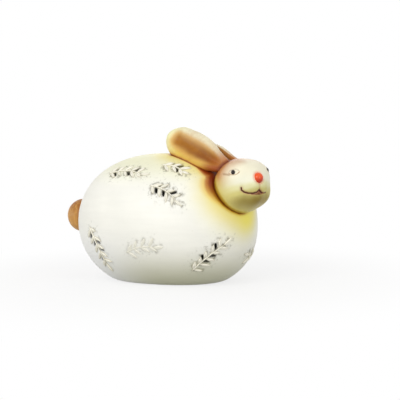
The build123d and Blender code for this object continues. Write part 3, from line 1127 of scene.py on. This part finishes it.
def ear_material():
    glaze = Glaze("ear_glaze")
    along = glaze.soft("along", 0.12, 60)
    across = glaze.read("across")
    rim = glaze.mix(glaze.span(across, -0.5, 0.6), (236, 208, 96), (240, 232, 200))
    rim = glaze.mix(glaze.span(along, 0.7, 1.0), rim, (242, 240, 190))
    root = glaze.both(glaze.fade(along, 0.2, 0.5, 1.0), glaze.span(across, -0.7, 0.4, 0.95, 0.15))
    rim = glaze.mix(root, rim, (162, 82, 24))
    back = glaze.ramp(along, [
        (0.0, (140, 78, 24)), (0.35, (178, 122, 52)), (0.62, (216, 182, 100)),
        (1.0, (240, 228, 170))])
    glaze.colour = glaze.mix(glaze.read("front"), back, rim)
    scoop = glaze.soft("scoop", 0.25, 70)
    depth = glaze.mix(glaze.span(along, 0.2, 0.85), (122, 46, 3), (184, 120, 10))
    # over the trough's brown paint, painted light lifts its upper side and painted shade lays a dark line along
    # its lower side
    depth = glaze.mix(glaze.span(across, -0.1, 0.6, 0.0, 0.7), depth, (216, 162, 66))
    depth = glaze.mix(glaze.span(across, -0.55, -0.25, 0.0, 0.5), depth, (140, 84, 10))
    glaze.lay(glaze.span(scoop, 0.0, 0.5, 0.0, 0.75), (222, 170, 84))
    glaze.lay(glaze.span(scoop, 0.3, 0.95), depth)
    glaze.lay(glaze.span(glaze.noise(120, 4, 0.6), 0.35, 0.7, 0.0, 0.25), OCHRE)
    seam = glaze.soft("body_seam", 1.6, 90)
    glaze.tint(seam, 0.0, 3.5, 0.9, OCHRE)
    glaze.tint(seam, 0.0, 1.4, 0.9, BROWN)
    head = glaze.soft("head_seam", 2.0, 90)
    glaze.tint(head, 1.0, 16.0, 0.9, (182, 108, 44))
    low_root = glaze.both(glaze.fade(head, 0.0, 13.0, 0.9), glaze.fade(across, -0.9, 0.1, 1.0))
    glaze.lay(low_root, (150, 66, 22))
    glaze.tint(head, 0.0, 3.0, 1.0, (120, 50, 10))
    return glaze.finish(0.42)


def tail_material():
    glaze = Glaze("tail_glaze")
    glaze.colour = glaze.mix(glaze.span(glaze.noise(55, 4), 0.3, 0.7), (184, 128, 62), (206, 152, 84))
    top = glaze.wander(glaze.axis("Z"), 0.006, 90)
    glaze.lay(glaze.span(top, 0.048, 0.060, 0.0, 0.8), (150, 88, 28))
    streaks = glaze.noise(140, 3, 0.6, (3.0, 3.0, 0.5))
    glaze.lay(glaze.span(streaks, 0.45, 0.7, 0.0, 0.55), (232, 178, 96))
    glaze.lay(glaze.fade(glaze.soft("seam", 2.0, 100), 0.0, 5.0, 1.0), (140, 86, 34))
    return glaze.finish(0.44)


def sprig_material():
    glaze = Glaze("sprig_glaze")
    lift = glaze.span(glaze.read("lift"), 0.0, 0.75)
    glaze.colour = glaze.mix(lift, (206, 200, 176), (253, 250, 236))
    glaze.lay(glaze.both(glaze.read("vein"), 0.45), (176, 166, 136))
    glaze.lay(glaze.read("faint"), (240, 239, 228))
    glaze.mottle(0.05, 160)
    return glaze.finish(0.4)


def nose_material():
    glaze = Glaze("nose_glaze")
    # painted light and shade: the red glaze is painted lighter on top and darker underneath
    up = glaze.span(glaze.soft("up", 0.3, 200), -0.9, 0.2)
    glaze.colour = glaze.mix(up, (188, 44, 16), (240, 90, 34))
    return glaze.finish(0.25, 0.04, 0.02, 0.3)


def eye_material():
    glaze = Glaze("eye_glaze")
    glaze.colour = glaze.mix(glaze.noise(200, 2), (16, 8, 6), (30, 14, 10))
    return glaze.finish(0.3, 0.05, 0.01, 0.15)


def looked_at(tree):
    """1 for what the camera, a reflection or glass looks at, 0 for the light that falls on things."""
    rays = tree.nodes.new("ShaderNodeLightPath")
    seen = rays.outputs["Is Camera Ray"]
    for kind in ("Is Glossy Ray", "Is Transmission Ray"):
        larger = tree.nodes.new("ShaderNodeMath")
        larger.operation = "MAXIMUM"
        tree.links.new(seen, larger.inputs[0])
        tree.links.new(rays.outputs[kind], larger.inputs[1])
        seen = larger.outputs[0]
    return seen


def floor_material():
    """White floor that keeps its shadow near the figure and runs into a white distance."""
    glaze = Glaze("floor")
    seen = looked_at(glaze.tree)
    glaze.colour = glaze.mix(seen, (196, 196, 192), (250, 250, 250))
    glaze.mottle(0.01, 12)
    glaze.feed(glaze.shader, {"Base Color": glaze.colour, "Roughness": 0.9, "Specular IOR Level": 0.0})
    glow = glaze.add("ShaderNodeEmission")
    glaze.feed(glow, {"Color": WHITE, "Strength": 1.0})
    far = glaze.add("ShaderNodeVectorMath", operation="LENGTH")
    glaze.link(glaze.place, far.inputs[0])
    distance = glaze.span(far.outputs["Value"], 0.07, 0.24, 0.76, 1.0)
    blend = glaze.add("ShaderNodeMixShader")
    glaze.link(glaze.both(distance, seen), blend.inputs["Fac"])
    glaze.link(glaze.shader.outputs["BSDF"], blend.inputs[1])
    glaze.link(glow.outputs["Emission"], blend.inputs[2])
    glaze.link(blend.outputs["Shader"], glaze.tree.nodes["Material Output"].inputs["Surface"])
    return glaze.material


# Stage

def aim(thing, place, target):
    line = Vector(target) - Vector(place)
    thing.location = place
    thing.rotation_euler = line.to_track_quat("-Z", "Y").to_euler()


def build_floor():
    corners = np.array([(-1, -1, 0), (1, -1, 0), (1, 1, 0), (-1, 1, 0)]) * FLOOR_HALF
    mesh = new_mesh("floor", corners, [(0, 1, 2, 3)])
    floor = bpy.data.objects.new("floor", mesh)
    bpy.context.scene.collection.objects.link(floor)
    mesh.materials.append(floor_material())


def build_world():
    """A plain white background that lights the figure more softly than it looks."""
    world = bpy.data.worlds.new("studio")
    bpy.context.scene.world = world
    world.use_nodes = True
    tree = world.node_tree
    sky = tree.nodes["Background"]
    sky.inputs["Color"].default_value = (1.0, 0.99, 0.97, 1)
    sky.inputs["Strength"].default_value = SKY_STRENGTH
    white = tree.nodes.new("ShaderNodeBackground")
    white.inputs["Color"].default_value = linear(*WHITE)
    white.inputs["Strength"].default_value = 1.0
    blend = tree.nodes.new("ShaderNodeMixShader")
    tree.links.new(looked_at(tree), blend.inputs["Fac"])
    tree.links.new(sky.outputs["Background"], blend.inputs[1])
    tree.links.new(white.outputs["Background"], blend.inputs[2])
    tree.links.new(blend.outputs["Shader"], tree.nodes["World Output"].inputs["Surface"])


def build_lights():
    for name, place, target, size, power in LIGHTS:
        lamp = bpy.data.lights.new(name, "AREA")
        lamp.shape = "DISK"
        lamp.size = size
        lamp.energy = power
        thing = bpy.data.objects.new(name, lamp)
        bpy.context.scene.collection.objects.link(thing)
        aim(thing, place, target)


def build_camera():
    """The photo's view: the egg's centre falls at its own place in the frame."""
    level = math.cos(CAMERA_ELEVATION)
    back = np.array([
        math.sin(CAMERA_AZIMUTH) * level, -math.cos(CAMERA_AZIMUTH) * level, math.sin(CAMERA_ELEVATION)])
    camera = bpy.data.cameras.new("camera")
    camera.sensor_width = SENSOR
    camera.lens = SENSOR * CAMERA_DISTANCE / (PICTURE_PIXELS * PIXEL)
    camera.shift_x = (PICTURE_PIXELS / 2 - CENTRE_PIXEL[0]) / PICTURE_PIXELS
    camera.shift_y = (CENTRE_PIXEL[1] - PICTURE_PIXELS / 2) / PICTURE_PIXELS
    thing = bpy.data.objects.new("camera", camera)
    bpy.context.scene.collection.objects.link(thing)
    place = (EGG_CENTRE + back * CAMERA_DISTANCE) * MM
    aim(thing, place.tolist(), (EGG_CENTRE * MM).tolist())
    thing.rotation_euler.rotate_axis("Z", CAMERA_ROLL)
    bpy.context.scene.camera = thing


bpy.context.scene.view_settings.view_transform = "Standard"

right_ear = ear_axes(-1, RIGHT_EAR_RISE, RIGHT_EAR_SETBACK)
left_ear = ear_axes(1, LEFT_EAR_RISE, LEFT_EAR_SETBACK)
build_head([right_ear, left_ear], head_material())
ear_glaze = ear_material()
build_ear("ear_right", -1, right_ear, ear_glaze)
build_ear("ear_left", 1, left_ear, ear_glaze)
build_body([right_ear, left_ear], body_material())
build_tail(tail_material())
build_nose(nose_material())
eye_glaze = eye_material()
build_eye("eye_left", 1, eye_glaze)
build_eye("eye_right", -1, eye_glaze)
sprig_glaze = sprig_material()
for sprig_number, sprig_values in enumerate(SPRIGS, start=1):
    build_sprig(sprig_number, sprig_values, sprig_glaze)
build_floor()
build_world()
build_lights()
build_camera()
